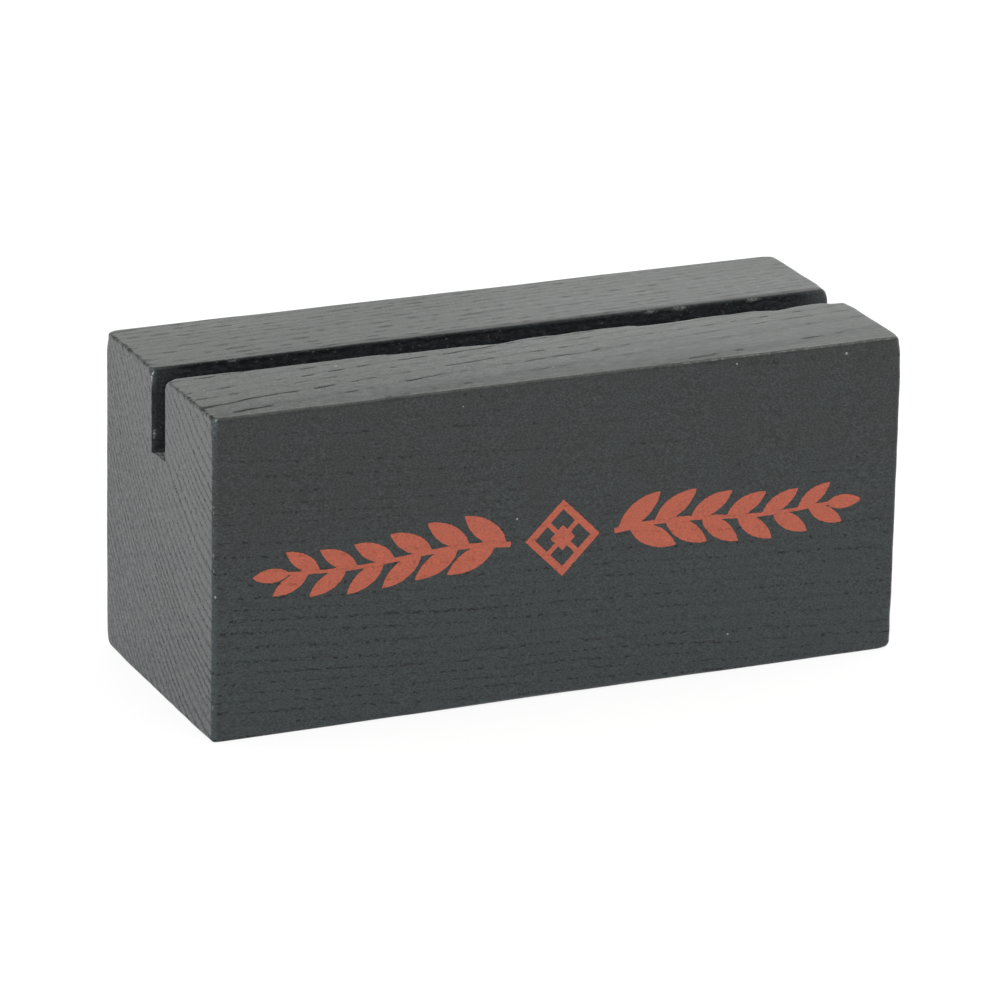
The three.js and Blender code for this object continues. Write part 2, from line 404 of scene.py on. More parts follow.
def vertex_normals(p, faces):
    a = p[faces[:, 2]] - p[faces[:, 0]]
    b = p[faces[:, 3]] - p[faces[:, 1]]
    n = np.cross(a, b)
    out = np.zeros_like(p)
    for c in range(4):
        np.add.at(out, faces[:, c], n)
    return out / np.maximum(np.linalg.norm(out, axis=1, keepdims=True), 1e-12)


shaped = uneven(rounded, vertex_normals(rounded, quads))


# ---------------------------------------------------------------- worn corner of the slot's mouth
def nick(p):
    """The back lip's corner at the left end is broken off a little, seen along the slot's wall."""
    x, y, z = p.T
    high = step(H - 1.5, H - 0.2, z)
    beside = np.where(y > SLOT - 0.05, 1 - step(0.1, 1.1, y - SLOT), 0.0)
    near = 1 - step(0.0, 2.0, x + HALF_L)
    out = p.copy()
    out[:, 0] += 0.5 * high * beside * near
    return out


shaped = nick(shaped)


def torn_floor(p):
    """The slot's floor is torn down a little where it meets the back wall at the left end."""
    x, y, z = sharp.T
    across = step(1.5, 2.6, y) * (1 - step(SLOT, SLOT + 0.8, y))
    tall = np.where(z > FLOOR, 1 - step(0.0, 0.7, z - FLOOR), 1 - step(0.0, 1.0, FLOOR - z))
    out = p.copy()
    out[:, 2] -= 0.34 * across * tall * (1 - step(0.1, 1.6, x + HALF_L))
    return out


shaped = torn_floor(shaped)


def worn_upright(p):
    """The right front upright's top is rubbed rounder than the rest of it."""
    x, y, z = p.T
    across = (HALF_L - x) + (y + HALF_W)  # 0 at the sharp upright, in plan
    push = 0.3 * step(H - 3.2, H - 0.3, z) + 0.09 * step(H - 9.0, H - 2.0, z)
    push = push * (1 - step(0.5, 3.2, across))
    out = p.copy()
    out[:, 0] -= push * 0.72
    out[:, 1] += push * 0.7
    return out


shaped = worn_upright(shaped)

# ---------------------------------------------------------------- attributes for the finish
# "arris" is 1 on an edge of the sharp block and 0 a little way off it. "pale" marks broken fibres
# and worn wood: the nick at the slot's mouth, a flake on the slot's back wall and the nicks in the back lip, a pale
# spot on the front's top left corner, and painted light on the slot's floor.
to_edges = np.stack(
    [
        np.abs(np.abs(sharp[:, 0]) - HALF_L),
        np.minimum(
            np.abs(np.abs(sharp[:, 1]) - HALF_W),
            np.where(sharp[:, 2] > FLOOR - 1e-6, np.abs(np.abs(sharp[:, 1]) - SLOT), 1e9),
        ),
        np.minimum(np.abs(sharp[:, 2]), np.abs(sharp[:, 2] - H)),
    ],
    1,
)
second = np.sort(to_edges, 1)[:, 1]
arris = 1 - step(0.0, 1.3, second)


def pale_places():
    x, y, z = sharp[:, 0] + HALF_L, sharp[:, 1], sharp[:, 2]
    mark = np.zeros(len(sharp))
    on_wall = np.abs(y - SLOT) < 1e-6
    # the nick's broken edge, and the torn fibres below it
    line = np.abs(y - SLOT - 0.05) < 0.1
    mark = np.maximum(mark, np.where(line & (x < 0.15), step(H - 2.2, H - 1.6, z) * (1 - step(H - 0.85, H - 0.5, z)), 0))
    torn = step(H - 3.2, H - 2.0, z) * (1 - step(H - 1.0, H - 0.6, z)) * (1 - step(0.12, 0.3, x))
    mark = np.maximum(mark, np.where(on_wall, 0.7 * torn, 0))
    # a pale spot on the front's top left corner
    pale_corner_spot = np.exp(-(((x - 0.45 + 0.5 * (H - 0.25 - z)) / 0.33) ** 2) - ((z - H + 0.22) / 0.3) ** 2)
    mark = np.maximum(mark, np.where(y < 0.3 - HALF_W, 0.5 * pale_corner_spot, 0))
    # a curled flake at the wall's left edge
    flake = np.exp(-(((x - 0.5 - 0.33 * (45.5 - z)) / 0.19) ** 2)) * bump(z, 45.6, 1.1)
    mark = np.maximum(mark, np.where(on_wall, 0.95 * flake, 0))
    # worn wood in the nicks
    for centre, half, wear in NICKS:
        worn = 0.36 * wear * bump(sharp[:, 0], centre, half)
        mark = np.maximum(mark, np.where(on_wall, worn * step(H - 0.85, H - 0.3, z), 0))
        mark = np.maximum(mark, np.where((z > H - 1e-6) & (y > SLOT), worn * (1 - step(0.2, 0.6, y - SLOT)), 0))
    # painted light: the slot's floor is made pale near its left end, in place of the light that comes in at the open
    # end
    on_floor = (np.abs(z - FLOOR) < 1e-6) & (np.abs(y) < SLOT - 0.05)
    lit = (1 - step(1.85, 2.35, y + 0.28 * x)) * (1 - step(1.0, 5.0, x)) * step(0.05, 0.3, x)
    mark = np.maximum(mark, np.where(on_floor, 0.5 * lit, 0))
    return mark


pale_mark = np.clip(pale_places(), 0, 1)
# "seam": open pores along the left end's top arris, by centre, half length and depth.
# "cut": the machined slot.
SEAM = [(20.8, 1.9, 0.9), (15.4, 2.9, 1.0), (10.1, 1.5, 0.8), (6.0, 1.7, 0.95), (-15.0, 2.6, 1.0), (-21.8, 3.7, 0.9)]
along = np.where(sharp[:, 1] < -6.0, 0.42, 0.25)
for centre, half, deep in SEAM:
    along = np.maximum(along, deep * (1 - step(0.5, 1.15, np.abs(sharp[:, 1] - centre) / half)))
seam = along * (1 - step(0.15, 0.95, np.hypot(sharp[:, 0] + HALF_L, sharp[:, 2] - H)))
below = bump(sharp[:, 2], H - 2.0, 1.9) * (1 - step(0.1, 0.7, np.hypot(sharp[:, 0] + HALF_L, sharp[:, 1] + HALF_W)))
seam = np.maximum(seam, 0.6 * below)
in_slot = (np.abs(sharp[:, 1]) < SLOT + 1e-6) & (sharp[:, 2] > FLOOR - 1e-6)
cut = np.where(in_slot, 1 - step(0.0, 0.3, sharp[:, 2] - (H - 0.3)), 0.0)


# ---------------------------------------------------------------- the bake's own layout
# Two columns of strips that run along the grain, one strip to a side of the block.
def layout():
    gap = 2.2
    wide, rail, wall = 2 * HALF_W, HALF_W - SLOT, H - FLOOR
    column = [
        [("front", H), ("top_front", rail), ("top_back", rail), ("wall_front", wall), ("wall_back", wall), ("floor", 2 * SLOT)],
        [("back", H), ("bottom", wide), (("left", "right"), wide)],
    ]
    place, total = {}, 0.0
    for c, rows in enumerate(column):
        v = gap
        for name, height in rows:
            for n, one in enumerate(name if isinstance(name, tuple) else (name,)):
                place[one] = (c, v, n)
            v += height + gap
        total = max(total, v)
    return place, total, gap


PLACE, TALL, GAP = layout()
COLUMN = 2 * HALF_L + 2 * GAP


def spot(side, key):
    """Where a corner of a face lies on the layout, from 0 to 1."""
    x, y, z = xs[key[0]], ys[key[1]], zs[key[2]]
    c, v0, n = PLACE[side]
    if side in ("front", "back"):
        u, v = x + HALF_L, z
    elif side == "bottom":
        u, v = x + HALF_L, y + HALF_W
    elif side == "top_front":
        u, v = x + HALF_L, y + HALF_W
    elif side == "top_back":
        u, v = x + HALF_L, y - SLOT
    elif side == "floor":
        u, v = x + HALF_L, y + SLOT
    elif side in ("wall_front", "wall_back"):
        u, v = x + HALF_L, z - FLOOR
    else:
        u, v = z + n * (H + GAP), y + HALF_W
    if side in ("back", "bottom", "right", "wall_front"):  # kept unmirrored
        span = H if side == "right" else 2 * HALF_L
        base = n * (H + GAP) if side == "right" else 0.0
        u = base + span - (u - base)
    return (
        (GAP + u + c * COLUMN) / (2 * COLUMN),
        (v0 + v) / TALL,
    )


# ---------------------------------------------------------------- mesh maker
def mesh_object(name, vertices_mm, faces):
    me = bpy.data.meshes.new(name)
    me.from_pydata((np.asarray(vertices_mm) / 1000.0).tolist(), [], [list(f) for f in faces])
    me.update()
    me.polygons.foreach_set("use_smooth", np.ones(len(me.polygons), bool))
    o = bpy.data.objects.new(name, me)
    bpy.context.scene.collection.objects.link(o)
    return o


block = mesh_object("block_finished", shaped, quads.tolist())
for name, values in (("arris", arris), ("pale", pale_mark), ("seam", seam), ("cut", cut)):
    attribute = block.data.attributes.new(name, "FLOAT", "POINT")
    attribute.data.foreach_set("value", values.astype(np.float32))
uv = block.data.uv_layers.new(name="OFBake")
flat_uv = np.array([spot(s, key) for s, keys in zip(sides, corners) for key in keys], np.float32)
uv.data.foreach_set("uv", flat_uv.ravel())


# ---------------------------------------------------------------- node helper
class Nodes:
    """Short-hand for building a node tree: every call returns the new node's output."""

    def __init__(self, tree):
        self.tree = tree

    def node(self, kind, **settings):
        n = self.tree.nodes.new(kind)
        for key, value in settings.items():
            setattr(n, key, value)
        return n

    def feed(self, socket, value):
        if isinstance(value, bpy.types.NodeSocket):
            self.tree.links.new(value, socket)
        elif value is not None:
            socket.default_value = value

    def math(self, op, a, b=None, c=None, clamp=False):
        n = self.node("ShaderNodeMath", operation=op, use_clamp=clamp)
        for socket, value in zip(n.inputs, (a, b, c)):
            self.feed(socket, value)
        return n.outputs[0]

    def add(self, a, b):
        return self.math("ADD", a, b)

    def sub(self, a, b):
        return self.math("SUBTRACT", a, b)

    def mul(self, a, b):
        return self.math("MULTIPLY", a, b)

    def smooth(self, value, a, b, to0=0.0, to1=1.0):
        n = self.node("ShaderNodeMapRange", interpolation_type="SMOOTHSTEP", clamp=True)
        for socket, v in zip(n.inputs, (value, a, b, to0, to1)):
            self.feed(socket, v)
        return n.outputs[0]

    def linear(self, value, a, b, to0=0.0, to1=1.0):
        n = self.node("ShaderNodeMapRange", interpolation_type="LINEAR", clamp=True)
        for socket, v in zip(n.inputs, (value, a, b, to0, to1)):
            self.feed(socket, v)
        return n.outputs[0]

    def xyz(self, x, y, z):
        n = self.node("ShaderNodeCombineXYZ")
        for socket, v in zip(n.inputs, (x, y, z)):
            self.feed(socket, v)
        return n.outputs[0]

    def noise(self, vector, scale=1.0, detail=2.0, roughness=0.5):
        n = self.node("ShaderNodeTexNoise", noise_dimensions="3D")
        self.feed(n.inputs["Vector"], vector)
        n.inputs["Scale"].default_value = scale
        n.inputs["Detail"].default_value = detail
        n.inputs["Roughness"].default_value = roughness
        return n.outputs[0]

    def voronoi(self, vector, scale=1.0, randomness=1.0):
        n = self.node("ShaderNodeTexVoronoi", voronoi_dimensions="3D", feature="F1")
        self.feed(n.inputs["Vector"], vector)
        n.inputs["Scale"].default_value = scale
        n.inputs["Randomness"].default_value = randomness
        return n.outputs["Distance"], n.outputs["Color"]

    def mix(self, share, a, b):
        n = self.node("ShaderNodeMix", data_type="RGBA", blend_type="MIX")
        self.feed(n.inputs["Factor"], share)
        for socket, v in ((n.inputs[6], a), (n.inputs[7], b)):
            self.feed(socket, v)
        return n.outputs[2]

    def scaled(self, colour, factor):
        """A colour times a number."""
        n = self.node("ShaderNodeVectorMath", operation="SCALE")
        self.feed(n.inputs[0], colour)
        self.feed(n.inputs["Scale"], factor)
        return n.outputs[0]


def principled(name):
    m = bpy.data.materials.new(name)
    m.use_nodes = True
    tree = m.node_tree
    shader = next(n for n in tree.nodes if n.type == "BSDF_PRINCIPLED")
    return m, Nodes(tree), shader


# ---------------------------------------------------------------- the wood's figure
# Ring-porous wood in the block's own millimetres. The rings are arcs round a far centre, the
# early wood of each ring is a band of open pores, and the pores are long tubes along the fibre.
RING_STEP = 0.85


def wood_figure(n):
    """Returns the sockets that both finishes share."""
    coordinates = n.node("ShaderNodeTexCoord")
    split, facing = n.node("ShaderNodeSeparateXYZ"), n.node("ShaderNodeSeparateXYZ")
    n.tree.links.new(coordinates.outputs["Object"], split.inputs[0])
    n.tree.links.new(coordinates.outputs["Normal"], facing.inputs[0])
    x, y, z = (n.mul(split.outputs[c], 1000.0) for c in range(3))

    # slow wander of fibre and rings
    slow = n.noise(n.xyz(n.mul(x, 0.011), n.mul(y, 0.03), n.mul(z, 0.03)), 1.0, 2.0)
    wander = n.sub(slow, 0.5)
    quick = n.noise(n.xyz(n.mul(x, 0.07), n.mul(y, 0.24), n.mul(z, 0.24)), 1.0, 2.0)
    ripple = n.sub(quick, 0.5)

    yy = n.add(y, 42.0)
    zz = n.sub(z, 322.5)
    s = n.math("SQRT", n.add(n.mul(yy, yy), n.mul(n.mul(zz, zz), 0.1624)))
    s = n.sub(s, n.mul(x, 0.028))
    s = n.add(s, n.add(n.mul(wander, 1.1), n.mul(ripple, 0.42)))
    # rings are wider towards the front's top arris
    wider = n.math("MAXIMUM", n.sub(116.0, s), 0.0)
    s = n.add(s, n.mul(n.mul(wider, wider), 0.021))
    phase = n.mul(s, 1.0 / RING_STEP)
    # rings differ in width
    phase = n.add(phase, n.mul(n.math("SINE", n.mul(phase, 0.91)), 0.22))
    phase = n.add(phase, n.mul(n.math("SINE", n.mul(phase, 0.37)), 0.3))
    ring = n.math("FLOOR", phase)
    f = n.sub(phase, ring)
    per_ring = n.node("ShaderNodeTexWhiteNoise", noise_dimensions="1D")
    n.tree.links.new(ring, per_ring.inputs["W"])
    luck = per_ring.outputs["Value"]
    early = n.mul(n.smooth(f, 0.0, 0.06), n.smooth(f, 0.2, 0.42, 1.0, 0.0))

    # how open the pores are, by the part of the block
    top = n.smooth(facing.outputs[2], 0.55, 0.85)
    rear = n.mul(top, n.smooth(y, -3.0, 3.0))
    end = n.smooth(n.math("ABSOLUTE", facing.outputs[0]), 0.5, 0.85)
    long_side = n.add(n.smooth(z, 18.0, 42.0, 1.0, 0.5), n.smooth(x, -50.0, 35.0, 0.16, -0.2))
    long_side = n.add(long_side, n.smooth(facing.outputs[1], 0.4, 0.8, 0.0, 0.25))
    on_top = n.sub(0.9, n.smooth(x, -45.0, 35.0, 0.0, 0.36))
    across = n.smooth(n.add(y, n.mul(n.sub(z, 28.0), 0.25)), -12.0, 12.0, 1.0, 0.5)
    share = n.add(long_side, n.mul(n.sub(on_top, long_side), top))
    share = n.add(share, n.mul(n.sub(across, share), end))
    patch = n.noise(n.xyz(n.mul(x, 0.05), n.mul(y, 0.12), n.mul(z, 0.12)), 1.0, 2.0)
    share = n.add(share, n.mul(n.sub(patch, 0.5), 0.8))
    share = n.add(share, n.mul(n.sub(luck, 0.5), 0.35))

    # pores: long cells along the fibre, which drifts a little off the block's length
    fy = n.add(y, n.add(n.mul(x, -0.035), n.mul(wander, 0.9)))
    fz = n.add(z, n.add(n.mul(x, 0.055), n.mul(ripple, 0.45)))
    fine = n.sub(n.noise(n.xyz(n.mul(x, 2.5), n.mul(fy, 1.7), n.mul(fz, 3.7)), 1.0, 1.0, 0.6), 0.5)

    def pores(length, width, low, high, seed):
        at = n.xyz(n.add(n.mul(x, 1 / length), seed), n.mul(fy, 1 / width), n.mul(fz, 1 / width))
        dist, cell = n.voronoi(at)
        chance = n.node("ShaderNodeSeparateColor")
        n.tree.links.new(cell, chance.inputs[0])
        open_ = n.smooth(n.sub(n.mul(share, 0.9), chance.outputs[0]), 0.0, 0.15)
        open_ = n.mul(open_, n.smooth(early, 0.2, 0.6))
        size = n.linear(chance.outputs[1], 0.0, 1.0, low, high)
        return n.mul(n.smooth(n.sub(size, dist), -0.02, 0.12), open_)

    def rows(pitch, half, low, high, wobble, seed, soft=0.28, least=0.35, narrow=None):
        """Dashes along each ring's line of open pores."""
        run = n.noise(n.xyz(n.mul(x, 1 / pitch), n.mul(ring, 7.31), seed), 1.0, 1.0)
        drift = n.noise(n.xyz(n.mul(x, 0.9 / pitch), n.mul(ring, 3.17), seed + 5.0), 1.0, 2.0)
        middle = n.add(0.2, n.mul(n.sub(drift, 0.5), wobble))
        off = n.math("ABSOLUTE", n.sub(f, middle))
        off = off if narrow is None else n.mul(off, narrow)
        off = n.add(off, n.mul(fine, half * 0.9))
        line = n.smooth(off, half * 0.55, half * 1.3, 1.0, 0.0)
        spell = n.noise(n.xyz(n.mul(x, 0.14), n.mul(ring, 2.31), seed + 11.0), 1.0, 0.0)
        more = n.add(n.mul(n.sub(spell, 0.5), 0.22), n.mul(n.sub(share, 0.8), 0.11))
        need = n.sub(n.add(run, n.math("MINIMUM", more, 0.03)), low)
        depth = n.mul(n.smooth(need, 0.0, high), n.linear(need, 0.0, soft, least, 1.0))
        return n.mul(line, depth)

    dots = pores(1.5, 0.38, 0.26, 0.45, 0.0)
    open_side = n.linear(share, 0.35, 1.05, 0.3, 1.0)
    dashes = n.mul(rows(0.95, 0.085, 0.545, 0.06, 0.5, 2.0, 0.12, 0.6), n.linear(share, 0.1, 1.0, 0.6, 1.0))
    threads = n.mul(rows(3.2, 0.05, 0.52, 0.1, 0.4, 21.0), n.linear(share, 0.45, 0.9, 0.7, 0.1))
    side_pore = n.math("MAXIMUM", n.mul(dots, n.mul(open_side, 0.75)), n.math("MAXIMUM", dashes, threads))
    narrow = n.add(1.0, n.mul(n.smooth(y, -25.0, -9.0, 1.0, 0.0), n.smooth(x, -50.0, -20.0)))  # the rings lie flat there
    top_pore = n.mul(rows(4.5, 0.07, 0.475, 0.1, 0.26, 9.0, narrow=narrow), n.linear(share, 0.4, 0.9, 0.28, 1.0))
    back_pore = n.mul(rows(3.3, 0.2, 0.46, 0.14, 0.6, 14.0), n.linear(share, 0.4, 0.9, 0.12, 0.36))
    pore = n.add(side_pore, n.mul(n.sub(top_pore, side_pore), top))
    pore = n.add(pore, n.mul(n.sub(back_pore, pore), rear))
    pore = n.add(pore, n.mul(n.sub(n.mul(dots, 0.8), pore), end))

    # short dark checks between the rows of pores, on the long sides
    checks = n.noise(n.xyz(n.mul(x, 1.0), n.mul(fy, 3.4), n.mul(fz, 3.4)), 1.0, 1.0, 0.5)
    checks = n.mul(n.smooth(checks, 0.56, 0.68), n.sub(1.0, n.math("MAXIMUM", top, end)))

    # on the end the rings show as even bands, dark where the pores are
    wave = n.mul(n.math("SINE", n.mul(n.add(f, 0.03), 2 * math.pi)), n.add(0.62, n.mul(luck, 0.6)))
    wave = n.mul(wave, n.smooth(z, 6.0, 30.0, 0.72, 1.0))
    wave = n.mul(wave, n.add(1.0, n.mul(n.smooth(y, 0.0, -10.0, 0.0, 0.4), n.smooth(z, 28.0, 44.0))))

    streak = n.sub(n.noise(n.xyz(n.mul(x, 0.5), n.mul(fy, 1.3), n.mul(fz, 1.3)), 1.0, 3.0, 0.6), 0.5)
    return {
        "x": x, "y": y, "z": z, "early": early, "luck": luck, "share": share, "top": top, "rear": rear,
        "end": end, "pore": pore, "streak": streak, "fine": fine, "patch": patch, "checks": checks,
        "side": n.smooth(facing.outputs[1], -0.25, -0.5), "upright": n.smooth(n.math("ABSOLUTE", facing.outputs[1]), 0.35, 0.75),
        "wave": n.mul(wave, end), "hidden": n.smooth(n.math("MAXIMUM", facing.outputs[0], facing.outputs[1]), 0.5, 0.8),
    }


def specks(n, w, per_mm, radius, share, seed):
    """Sparse round specks: one cell in so many holds one."""
    at = n.xyz(n.add(n.mul(w["x"], per_mm), seed), n.add(n.mul(w["y"], per_mm), seed * 1.7), n.mul(w["z"], per_mm))
    dist, cell = n.voronoi(at)
    chance = n.node("ShaderNodeSeparateColor")
    n.tree.links.new(cell, chance.inputs[0])
    lucky = n.math("LESS_THAN", chance.outputs[0], share)
    r = n.linear(chance.outputs[1], 0.0, 1.0, radius * 0.5 * per_mm, radius * per_mm)
    return n.mul(n.smooth(n.sub(r, dist), 0.0, 0.25 * radius * per_mm), lucky)


# Grains of dust on the sides in front and on top: place and radius in millimetres.
DUST = [
    (-34.0, -6.5, H, 0.22), (-13.7, -14.1, H, 0.15), (0.1, -19.7, H, 0.17), (-59.5, -10.9, H, 0.15),
    (52.6, -HALF_W, 55.3, 0.2), (31.8, -HALF_W, 55.8, 0.15), (-8.5, -HALF_W, 32.9, 0.17),
    (31.7, -HALF_W, 6.8, 0.15), (-18.8, -HALF_W, 54.1, 0.11), (-63.0, -HALF_W, 26.0, 0.18),
]


def placed_dust(n, w):
    here = n.xyz(w["x"], w["y"], w["z"])
    total = 0.0
    for x, y, z, radius in DUST:
        far = n.node("ShaderNodeVectorMath", operation="DISTANCE")
        n.feed(far.inputs[0], here)
        far.inputs[1].default_value = (x, y, z)
        grain = n.smooth(far.outputs["Value"], radius * 0.7, radius * 1.4, 1.0, 0.0)
        total = grain if isinstance(total, float) else n.math("MAXIMUM", total, grain)
    return total


ROUGH = 0.3


def marked(n, name):
    return n.node("ShaderNodeAttribute", attribute_name=name).outputs["Fac"]


def stained_wood():
    m, n, shader = principled("black_stained_wood")
    w = wood_figure(n)
    pale, cut = marked(n, "pale"), marked(n, "cut")
    edge = n.smooth(marked(n, "arris"), 0.8, 1.0)
    broken = n.noise(n.xyz(n.mul(w["x"], 1.6), n.mul(w["y"], 1.5), n.mul(w["z"], 1.6)), 1.0, 2.0)
    crack = n.mul(marked(n, "seam"), n.linear(broken, 0.3, 0.62, 1.5, 0.1))
    dark = n.math("MAXIMUM", w["pore"], n.mul(n.smooth(crack, 0.12, 0.85), 0.75))

    # colour
    mottle = n.noise(n.xyz(n.mul(w["x"], 0.13), n.mul(w["y"], 0.2), n.mul(w["z"], 0.2)), 1.0, 2.0, 0.6)
    cool = (0.0128, 0.0193, 0.0217, 1.0)
    warm = (0.0122, 0.0150, 0.0155, 1.0)
    # painted light: low down the colour is lighter and bluer, high up darker and warmer (less so on the ends), in place
    # of the floor's light on the lower sides
    up = n.mul(n.smooth(w["z"], 12.0, 44.0), n.sub(0.9, n.mul(w["end"], 0.65)))
    base = n.mix(n.add(up, n.mul(n.sub(mottle, 0.5), 1.5)), cool, warm)
    # painted light: near the open left end the slot takes a lighter, redder colour, standing in for light that comes in
    # at the end
    mouth = n.smooth(w["x"], -62.5, -50.0, 1.0, 0.0)
    slot = n.mix(mouth, (0.0139, 0.0186, 0.0222, 1.0), (0.0168, 0.0191, 0.0217, 1.0))
    base = n.mix(n.mul(cut, 0.9), base, slot)
    height = n.smooth(w["z"], 12.0, 44.0, 0.0, 1.0)
    lift = n.add(1.0, n.mul(w["fine"], n.sub(n.add(4.0, n.mul(height, 1.6)), n.mul(cut, 2.6))))
    lift = n.add(lift, n.mul(w["streak"], 0.95))
    lift = n.sub(lift, n.mul(height, n.smooth(w["x"], -62.0, -12.0, 0.13, 0.0)))
    # painted highlight: the front-left upright's arris is made lighter, most near its top, standing in for light it
    # catches from the left
    painted_upright_highlight = n.mul(n.smooth(w["x"], -63.1, -62.4, 1.0, 0.0), n.mul(w["side"], n.smooth(w["z"], 52.5, 56.0, 0.75, 2.6)))
    lift = n.add(lift, painted_upright_highlight)
    lift = n.sub(lift, n.mul(w["early"], n.add(0.08, n.mul(w["end"], n.mul(w["share"], 0.2)))))
    lift = n.sub(lift, n.add(n.mul(w["checks"], 0.3), n.mul(w["wave"], 0.14)))
    lift = n.math("MAXIMUM", lift, 0.12)
    # painted light: the slot is made lighter, most of all near its open left end and low down there
    lift = n.mul(lift, n.add(1.0, n.mul(cut, n.add(0.27, n.mul(mouth, n.smooth(w["z"], 52.0, 43.0, 0.35, 0.9))))))
    # painted shade: deep inside, the walls are darkest just below their lips; lower down they are painted lighter, to
    # make up for the light that the slot shuts out
    inner = n.mul(n.smooth(w["x"], -61.0, -57.0), n.smooth(w["x"], 56.0, 61.5, 1.0, 0.0))
    deep = n.mul(n.mul(cut, inner), n.smooth(w["z"], 53.5, 56.2))
    lift = n.mul(lift, n.sub(1.0, n.mul(deep, 0.48)))
    lift = n.mul(lift, n.add(1.0, n.mul(n.mul(cut, inner), n.smooth(w["z"], 54.9, 53.0, 0.0, 0.6))))
    # and unevenly stained, as the saw left them rough
    sawn = n.noise(n.xyz(n.mul(w["x"], 0.8), n.mul(w["y"], 1.5), n.mul(w["z"], 2.1)), 1.0, 3.0, 0.7)
    lift = n.mul(lift, n.add(1.0, n.mul(n.mul(cut, inner), n.linear(sawn, 0.39, 0.62, -0.9, 1.1))))
    lip = n.mul(n.mul(inner, w["upright"]), n.smooth(n.math("ABSOLUTE", w["y"]), 3.9, 4.7, 1.0, 0.0))
    lip = n.mul(lip, n.smooth(w["z"], 55.7, 56.6))
    n.tree.links.new(n.linear(lip, 0.0, 1.0, 0.5, 0.22), shader.inputs["Specular IOR Level"])
    # painted shade: the slot's walls are darker along the left end's edge
    lift = n.mul(lift, n.sub(1.0, n.mul(cut, n.smooth(w["x"], -63.3, -62.1, 0.42, 0.0))))
    # painted highlight: a thin pale line along the front's top arris, with a darker line below it
    below = n.mul(n.smooth(w["z"], 56.3, 56.55), n.smooth(w["z"], 56.66, 56.8, 1.0, 0.0))
    lift = n.mul(lift, n.sub(1.0, n.mul(n.mul(below, w["side"]), 0.35)))
    arris_highlight = n.noise(n.xyz(n.mul(w["x"], 0.9), n.mul(w["y"], 0.5), n.mul(w["z"], 0.5)), 1.0, 2.0)
    arris_highlight = n.mul(n.linear(arris_highlight, 0.3, 0.7, 0.6, 1.4), n.smooth(w["x"], 5.0, 35.0, 0.19, 0.31))
    arris_highlight = n.mul(arris_highlight, n.mul(n.smooth(w["y"], -24.75, -24.45, 1.0, 0.0), n.smooth(w["z"], 56.78, 56.92)))
    base = n.scaled(base, lift)
    base = n.mix(arris_highlight, base, (0.2, 0.2, 0.19, 1.0))
    base = n.mix(n.mul(dark, 0.86), base, (0.003, 0.0035, 0.004, 1.0))
    grains = n.mul(w["end"], n.smooth(w["fine"], 0.13, 0.26))
    base = n.mix(n.mul(grains, 0.4), base, (0.12, 0.12, 0.115, 1.0))
    dust = n.math("MAXIMUM", placed_dust(n, w), n.mul(specks(n, w, 0.17, 0.13, 0.16, 3.0), w["hidden"]))
    caught = n.noise(n.xyz(n.mul(w["x"], 1.3), n.mul(w["y"], 2.0), n.mul(w["z"], 2.4)), 1.0, 0.0)
    caught = n.mul(n.smooth(caught, 0.745, 0.82), n.mul(cut, inner))
    worn = n.noise(n.xyz(n.mul(w["x"], 1.1), n.mul(w["y"], 1.3), n.mul(w["z"], 0.9)), 1.0, 2.0)
    front_arris = n.mul(n.smooth(w["z"], 54.0, 56.0), n.smooth(w["y"], -24.8, -23.8, 1.0, 0.0))
    worn = n.add(worn, n.mul(n.smooth(w["x"], 0.0, 25.0, 0.0, 0.12), front_arris))
    off_slot = n.smooth(n.math("ABSOLUTE", w["y"]), 4.2, 5.0)
    worn = n.mul(n.mul(edge, off_slot), n.smooth(worn, 0.64, 0.72))
    base = n.mix(n.mul(worn, 0.5), base, (0.2, 0.2, 0.19, 1.0))
    base = n.mix(n.mul(dust, 0.9), base, (0.3, 0.29, 0.26, 1.0))
    base = n.mix(n.mul(caught, 0.42), base, (0.16, 0.145, 0.125, 1.0))
    # pale wood at the nicks, the flake and torn fibres, the pale corner spot, and the painted light on the slot's floor
    torn = n.mul(pale, n.smooth(w["fine"], -0.15, 0.12, 0.12, 1.1))
    base = n.mix(torn, base, (0.47, 0.5, 0.485, 1.0))
    n.tree.links.new(base, shader.inputs["Base Color"])

    # sheen of the satin coat: late wood is denser and smoother
    right = n.smooth(w["x"], -50.0, 45.0)  # the top's right part is smoother
    back_strip = n.mul(w["rear"], n.sub(0.16, n.mul(right, 0.06)))
    grit = n.add(0.12, n.mul(w["top"], n.sub(n.sub(0.32, n.mul(right, 0.275)), back_strip)))
    grit = n.add(grit, n.mul(w["end"], 0.56))
    rough = n.add(ROUGH, n.mul(w["early"], n.add(0.03, n.mul(w["end"], n.mul(w["share"], 0.078)))))
    rough = n.add(rough, n.mul(w["fine"], grit))
    front_strip = n.sub(w["top"], w["rear"])
    coarse = n.add(n.mul(w["end"], n.smooth(w["z"], 20.0, 50.0, 0.48, 0.62)), n.mul(front_strip, n.mul(n.sub(1.0, right), 0.15)))
    rough = n.add(rough, n.mul(w["streak"], n.add(0.22, coarse)))
    rough = n.add(rough, n.mul(front_strip, n.smooth(w["x"], -50.0, 5.0, 0.006, 0.025)))
    rough = n.add(rough, n.mul(w["rear"], n.smooth(w["x"], -60.0, 0.0, -0.022, 0.0)))
